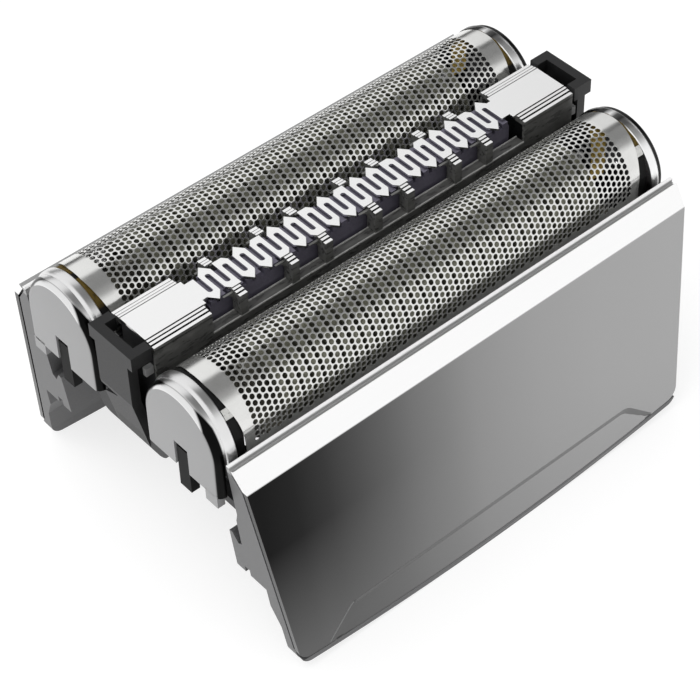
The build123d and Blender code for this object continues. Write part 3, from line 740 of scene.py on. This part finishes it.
def add_gusset(bm, x):
    """Curved web under the comb, beside a post."""
    low_z = guard_top_z - guard_t - 0.05
    line = [(x, low_z - gusset_h), (x, low_z), (x - gusset_w, low_z)]
    steps = 8
    for k in range(1, steps):
        angle = math.pi / 2 * k / steps
        line.append((x - gusset_w * (1 - math.sin(angle)), low_z - gusset_h * (1 - math.cos(angle))))
    add_prism(bm, line, -post_inner_y - 0.02, -post_inner_y - 0.22, "Y")


def guard_tabs():
    """Narrow bridges from the square teeth out to the first rib of their posts, on both sides."""
    tabs = bmesh.new()
    posts = [tooth_x(number) for number in sorted(joined_teeth)]
    for x in posts:
        add_box(tabs, x - post_w / 2, x + post_w / 2, -step_lines[0][0] - 0.02, -plate_y + 0.05,
                guard_top_z - guard_t - 0.1, step_lines[0][2] - groove_depth)
    edges = [-(tooth_x(number) + square * half_w) for number, square in joined_teeth.items()]
    for x, edge in zip(posts, sorted(edges)):
        x0, x1 = sorted((x, edge + math.copysign(0.1, edge - x)))
        add_box(tabs, x0, x1, plate_y - 0.1, step_lines[0][0] + 0.02, guard_top_z - guard_t,
                step_lines[0][2] - groove_depth)
    return mesh_from("tabs", tabs, 1)


def guard_meshes():
    """The comb with its bevelled edges, the bridges to its posts and both walls."""
    comb = bmesh.new()
    edge = comb_edge()
    add_prism(comb, edge + [(-x, -y) for x, y in edge], guard_top_z - guard_t, guard_top_z, "Z")
    bmesh.ops.remove_doubles(comb, verts=comb.verts, dist=1e-7)
    bevel = {"width": 0.03 * MM, "segments": 1, "limit_method": "ANGLE", "angle_limit": math.radians(50)}
    mesh = baked(mesh_from("comb", comb), ("BEVEL", bevel))
    for polygon in mesh.polygons:
        polygon.material_index = 0 if polygon.normal.z > -0.5 else 1
    sides = guard_side()
    return [mesh, guard_tabs()] + sides + [mirrored(side, y=-1) for side in sides]


def trim_blade_mesh():
    """Plain channel-shaped blade with small teeth along both top edges."""
    bm = bmesh.new()
    low = trim_blade_top_z - trim_tooth_h
    y = trim_blade_y
    inner = y - trim_blade_t
    channel = [(-y, trim_blade_foot_z), (-y, low), (-trim_tooth_y, low), (-trim_tooth_y, trim_blade_top_z),
               (trim_tooth_y, trim_blade_top_z), (trim_tooth_y, low), (y, low), (y, trim_blade_foot_z),
               (inner, trim_blade_foot_z), (inner, low - trim_blade_t), (-inner, low - trim_blade_t),
               (-inner, trim_blade_foot_z)]
    add_prism(bm, channel, -trim_blade_half, trim_blade_half, "X")
    count = int(2 * trim_blade_half / pitch * 2)
    step = 2 * trim_blade_half / count
    for k in range(count):
        x0 = -trim_blade_half + k * step + trim_tooth_gap / 2
        for side in (-1, 1):
            y0, y1 = sorted((side * trim_tooth_y, side * y))
            add_box(bm, x0, x0 + step - trim_tooth_gap, y0, y1, low - 0.02, trim_blade_top_z)
    return mesh_from("trim_blade", bm)


def joined(name, meshes):
    """One mesh of several, each face keeping its material number."""
    bm = bmesh.new()
    for mesh in meshes:
        bm.from_mesh(mesh)
    result = bpy.data.meshes.new(name)
    bm.to_mesh(result)
    bm.free()
    return result


# end rings and caps
def ring_mesh():
    """Rounded band between the foil and the cap."""
    bm = bmesh.new()
    inner = ring_r - ring_wall
    profile = [(ring_back, inner), (ring_back, ring_r - 0.09), (ring_back + 0.07, ring_r - 0.02),
               (ring_back + 0.2, ring_r), (ring_front - 0.35, ring_r), (ring_front - 0.22, ring_r - 0.03),
               (ring_front - 0.1, ring_r - 0.1), (ring_front, ring_r - 0.19), (ring_front, inner)]
    add_arch_sweep(bm, profile, ring_axis_z, ring_foot_z, 48, False)
    return mesh_from("ring", bm)


def cap_mesh(face_x):
    """D-shaped cap: a broad rounded edge round a flat face, with its slot, pocket and small tab."""
    body = bmesh.new()
    profile = [(ring_front, cap_valley_r + 0.03), (ring_front + 0.12, cap_valley_r + 0.04)]
    start = ring_front + 0.24
    steps = 14
    for k in range(steps + 1):
        angle = math.pi / 2 * k / steps
        profile.append((start + (face_x - start) * math.sin(angle),
                        cap_rim_r + (cap_valley_r + 0.04 - cap_rim_r) * math.cos(angle)))
    add_arch_sweep(body, profile, ring_axis_z, cap_foot_z, 48, True)
    mesh = mesh_from("cap", body)
    back = cap_face - cap_front_t
    low_z = cap_foot_z - 1
    slot_y0, slot_y1 = foil_y - cap_slot_w / 2, foil_y + cap_slot_w / 2
    side_y0, side_y1 = foil_y - ring_r - 1, foil_y + ring_r + 1
    pocket = arch_line(ring_r - ring_wall, ring_axis_z, low_z, 32)
    slot = [(slot_y0, low_z), (slot_y1, low_z), (slot_y1, cap_slot_top_z), (slot_y0, cap_slot_top_z)]
    under_ring = [(side_y0, low_z), (side_y1, low_z), (side_y1, ring_foot_z), (side_y0, ring_foot_z)]
    cuts = []
    for points, x0, x1 in ((pocket, ring_front - 1, back), (slot, back - 0.3, cap_face + 1),
                           (under_ring, ring_front - 1, back - 0.01)):
        tool = bmesh.new()
        add_prism(tool, points, x0, x1, "X")
        cutter = bpy.data.objects.new("tool", mesh_from("tool", tool))
        bpy.context.scene.collection.objects.link(cutter)
        cuts.append(cutter)
    cutting = {"operation": "DIFFERENCE", "solver": "EXACT"}
    mesh = baked(mesh, *[("BOOLEAN", {**cutting, "object": cutter}) for cutter in cuts])
    for cutter in cuts:
        bpy.data.objects.remove(cutter)
    for polygon in mesh.polygons:
        x, y, z = polygon.center / MM
        outer = math.hypot(y - foil_y, max(z - ring_axis_z, 0)) > cap_rim_r - 0.02 and x < face_x - 0.012
        polygon.material_index = 1 if outer and z > cap_foot_z + 0.01 else 0
    bm = bmesh.new()
    bm.from_mesh(mesh)
    tab_y = foil_y + cap_r - cap_tab_w
    add_box(bm, back, face_x, tab_y, tab_y + cap_tab_w - 0.4, cap_foot_z - cap_tab_h, cap_foot_z + 0.2)
    bm.to_mesh(mesh)
    bm.free()
    return mesh


def recess_edge_mesh():
    """Bevelled edge of the recess in the right side cover: a slope painted dark as shade, a line painted
    paler as light, and the floor.
    """
    (y0, z0), (y1, z1) = cover_crease, cover_foot
    length = math.hypot(y1 - y0, z0 - z1)
    up = Vector((0, (y1 - y0) / length, (z0 - z1) / length))
    out = Vector((0, -(z0 - z1) / length, (y1 - y0) / length))
    line = [Vector(p) for p in recess_line] + [Vector((-x, h)) for x, h in recess_line[::-1]]
    inward = []
    for k in range(len(line)):
        step = line[min(k + 1, len(line) - 1)] - line[max(k - 1, 0)]
        inward.append(Vector((step.y, -step.x)).normalized())
    bm = bmesh.new()
    rows = []
    for k, (point, turn) in enumerate(zip(line, inward)):
        wide, lead = (recess_end_slope_w, -0.18) if k < recess_end_points else (recess_slope_w, -0.05)
        row = []
        for off, depth in ((lead, 0.004), (0.0, 0.0), (wide, -recess_depth + 0.02),
                           (wide + recess_light_w, -recess_depth + 0.03)):
            q = point + turn * off
            row.append(bm.verts.new((Vector((q.x, -y1, z1)) + up * q.y + out * depth) * MM))
        rows.append(row)
    for n, (a, b) in enumerate(zip(rows, rows[1:])):
        for k in range(3):
            face = bm.faces.new((a[k], a[k + 1], b[k + 1], b[k]))
            # the lip and slope take painted shade; the paler line and the near slanted end take painted light
            face.material_index = 1 if k == 2 or n < recess_end_points - 1 else 0
    # floor of the recess, rising to a thin line of moulding along the lower edge
    steps = 48
    rows = []
    for k in range(steps + 1):
        x = (2 * k / steps - 1) * recess_floor_half
        low_h = math.sqrt(panel_edge_r ** 2 - panel_foot_half ** 2) - math.sqrt(panel_edge_r ** 2 - x * x)
        high_h = recess_line[-1][1]
        for (xa, ha), (xb, hb) in zip(recess_line, recess_line[1:]):
            if xa <= -abs(x) < xb:
                high_h = ha + (hb - ha) * (-abs(x) - xa) / (xb - xa)
        row = []
        for h, depth in ((high_h - recess_floor_under, -recess_depth + 0.01),
                         (low_h - recess_floor_past, 0.005)):
            row.append(bm.verts.new((Vector((x, -y1, z1)) + up * h + out * depth) * MM))
        rows.append(row)
    for a, b in zip(rows, rows[1:]):
        bm.faces.new((a[0], a[1], b[1], b[0])).material_index = 2
    mesh = bpy.data.meshes.new("recess_edge")
    bm.to_mesh(mesh)
    bm.free()
    return mesh


# small parts seen inside the foils' ends
def arch_patch(x0, x1, radius, thick, deg0, deg1, slant=0.0):
    """A curved leaf under the arch, between two angles from the top towards the outer side."""
    bm = bmesh.new()
    steps = 12
    outer, inner = [], []
    for k in range(steps + 1):
        angle = math.radians(deg0 + (deg1 - deg0) * k / steps)
        for line, r in ((outer, radius), (inner, radius - thick)):
            line.append((foil_y + r * math.sin(angle), foil_axis_z + r * math.cos(angle)))
    add_prism(bm, outer + inner[::-1], x0, x1, "X")
    for vert in bm.verts:
        angle = math.atan2(vert.co.y - foil_y * MM, vert.co.z - foil_axis_z * MM)
        vert.co.x -= slant * math.degrees(angle) * MM
    return mesh_from("patch", bm)


# pieces that replace solids of the frame
foil = foil_mesh()
cutter = cutter_mesh()
guard = joined("guard", guard_meshes())
ring = ring_mesh()
near_cap = cap_mesh(cap_face)
far_cap = cap_mesh(cap_far_face)
latch = arch_patch(*latch_span)

for side, y in (("left", 1), ("right", -1)):
    wrap_piece(f"foil_lattice_{side}", mirrored(foil, y=y), finish["foil_metal"], f"foil_{side}",
               [f"foil_sheet_{side}"], 60.0)
    wrap_piece(f"fine_blades_{side}", mirrored(cutter, y=y), finish["cutter_metal"], f"cutter_{side}",
               [f"cutter_blades_{side}"])
    for end, x in (("far", 1), ("near", -1)):
        wrap_piece(f"rounded_ring_{side}_{end}", mirrored(ring, x=x, y=y), chrome, f"foil_{side}",
                   [f"end_ring_{side}_{end}"])
        cap = near_cap if end == "near" else far_cap
        wrap_piece(f"rounded_cap_{side}_{end}", mirrored(cap, x=x, y=y), [finish["cap_satin"], chrome],
                   f"foil_{side}", [f"end_cap_{side}_{end}"])
        wrap_piece(f"latch_{side}_{end}", mirrored(latch, x=x, y=y), finish["tab_metal"], f"foil_{side}")
    leaf = arch_patch(*gold_leaf_spans[side])
    glint_nub_mesh = arch_patch(*glint_nub_spans[side])
    wrap_piece(f"gold_leaf_{side}", mirrored(leaf, y=y), finish["gold_leaf"], f"foil_{side}")
    # a chrome nub standing in for a glint
    wrap_piece(f"glint_nub_{side}", mirrored(glint_nub_mesh, y=y), chrome, f"foil_{side}")
edge = recess_edge_mesh()
for side, y in (("left", -1), ("right", 1)):
    wrap_piece(f"recess_edge_{side}", mirrored(edge, y=y), [painted_recess_shade, painted_recess_highlight, cover_metal], "frame")
wrap_piece("toothed_guard", guard,
           [finish["guard_metal"], finish["guard_painted_shade"], finish["groove_painted_shade"], finish["tab_metal"]],
           "trimmer", ["trimmer_guard"], 20.0)
wrap_piece("trimming_blade", trim_blade_mesh(), finish["blade_metal"], "blade",
           ["trimmer_blade"])

# leaf springs, as copies of the imported ones
for name, (joint, foot_z, sink) in spring_travel.items():
    leaf = wrap_piece(f"pressed_{name}", nodes[name].data.copy(), finish["spring_metal"], "frame",
                      [name])
    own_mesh(leaf)

# materials of the solids that stay
for name, material in {
        "main_frame": dark_plastic, "trimmer_base": base_block,
        "side_frame_left": grey_plastic, "side_frame_right": grey_plastic,
        "side_cover_left": cover_metal, "side_cover_right": cover_metal,
        "foil_frame_left": former_plastic, "foil_frame_right": former_plastic,
        "trimmer_driver": finish["cutter_plastic"], "cutter_carrier_left": finish["cutter_plastic"],
        "cutter_carrier_right": finish["cutter_plastic"]}.items():
    nodes[name].data.materials.clear()
    nodes[name].data.materials.append(material)


# floor, light and camera
def stage_and_light():
    """Pale floor, soft boxes in the world and one soft lamp."""
    material = bpy.data.materials.new("floor")
    material.use_nodes = True
    tree = material.node_tree
    tree.nodes.clear()
    output = tree.nodes.new("ShaderNodeOutputMaterial")
    plain = node_of(tree, "ShaderNodeBsdfDiffuse", Color=(0.93, 0.93, 0.93, 1))
    soft = node_of(tree, "ShaderNodeBsdfDiffuse", Color=(0.34, 0.34, 0.34, 1))
    glow = node_of(tree, "ShaderNodeEmission", Color=(1, 1, 1, 1), Strength=0.74)
    seen = tree.nodes.new("ShaderNodeAddShader")
    tree.links.new(soft.outputs[0], seen.inputs[0])
    tree.links.new(glow.outputs[0], seen.inputs[1])
    path = tree.nodes.new("ShaderNodeLightPath")
    direct = math_node(tree, "MAXIMUM", path.outputs["Is Camera Ray"], path.outputs["Is Glossy Ray"])
    direct = math_node(tree, "MAXIMUM", direct, path.outputs["Is Transmission Ray"])
    mix = tree.nodes.new("ShaderNodeMixShader")
    tree.links.new(direct, mix.inputs[0])
    tree.links.new(plain.outputs[0], mix.inputs[1])
    tree.links.new(seen.outputs[0], mix.inputs[2])
    tree.links.new(mix.outputs[0], output.inputs["Surface"])
    mesh = bpy.data.meshes.new("floor")
    half = 1.2
    corners = [(-half, -half, 0), (half, -half, 0), (half, half, 0), (-half, half, 0)]
    mesh.from_pydata(corners, [], [(0, 1, 2, 3)])
    mesh.materials.append(material)
    floor = bpy.data.objects.new("floor", mesh)
    bpy.context.scene.collection.objects.link(floor)

    world = bpy.data.worlds.new("studio")
    bpy.context.scene.world = world
    world.use_nodes = True
    tree = world.node_tree
    background = tree.nodes["Background"]
    place = tree.nodes.new("ShaderNodeTexCoord")
    split = tree.nodes.new("ShaderNodeSeparateXYZ")
    tree.links.new(place.outputs["Generated"], split.inputs["Vector"])
    lean = math_node(tree, "ARCTAN2", math_node(tree, "MULTIPLY", split.outputs["Y"], -1), split.outputs["Z"])
    # long soft boxes to both sides of a grey ceiling, by degrees of lean towards -Y
    boxes = ((-180, 0.05), (-82, 0.05), (-70, 1.0), (-26, 1.0), (-18, 0.19), (14, 0.19), (32, 0.36),
             (46, 1.0), (180, 1.0))
    ceiling = grey_ramp(tree, remap(tree, lean, -math.pi, math.pi, 0, 1),
                        [((degrees + 180) / 360, value) for degrees, value in boxes])
    # a dark gap between box and ceiling towards +X, and a box that dims towards +X
    gap = remap(tree, math_node(tree, "ABSOLUTE", math_node(tree, "ADD", lean, math.radians(18))),
                math.radians(4), math.radians(9), 1, 0)
    gap = math_node(tree, "MULTIPLY", gap, remap(tree, split.outputs["X"], 0.47, 0.55, 0, 0.85))
    dim = remap(tree, split.outputs["X"], 0.42, 0.62, 0, 0.22)
    dim = math_node(tree, "MULTIPLY", dim, remap(tree, lean, -0.3, -0.2, 1, 0))
    shade = math_node(tree, "MAXIMUM", gap, dim)
    front = remap(tree, split.outputs["X"], -0.3, -0.1, 1, 0)
    color = mix_color(tree, shade, ceiling, (0.03, 0.03, 0.03))
    tree.links.new(mix_color(tree, front, color, (1, 1, 1)), background.inputs["Color"])
    background.inputs["Strength"].default_value = 1.0

    lamp_data = bpy.data.lights.new("softbox", "AREA")
    lamp_data.shape = "RECTANGLE"
    lamp_data.size = lamp_data.size_y = 0.35
    lamp_data.energy = 0.75
    lamp = bpy.data.objects.new("softbox", lamp_data)
    bpy.context.scene.collection.objects.link(lamp)
    lamp.location = (-0.1, 0.02, 0.42)
    lamp.rotation_euler = (Vector((0, 0, 0.015)) - lamp.location).to_track_quat("-Z", "Y").to_euler()
    lamp.visible_glossy = False


def photo_camera():
    """Camera solved from the photo's perspective: its axes, focal length in mm and place in metres."""
    right = Vector((0.75196179, -0.65879774, -0.0232165))
    up = Vector((0.48284789, 0.52646931, 0.69977709))
    back = Vector((-0.44878879, -0.53741567, 0.71398391))
    data = bpy.data.cameras.new("camera")
    data.sensor_width = 36
    data.lens = 118.57
    data.clip_start = 0.01
    data.clip_end = 10
    camera = bpy.data.objects.new("camera", data)
    bpy.context.scene.collection.objects.link(camera)
    matrix = Matrix((right, up, back)).transposed().to_4x4()
    matrix.translation = (-0.0870121, -0.1032443, 0.1462832)
    camera.matrix_world = matrix
    bpy.context.scene.camera = camera


stage_and_light()
photo_camera()
bpy.context.scene.view_settings.view_transform = "Standard"
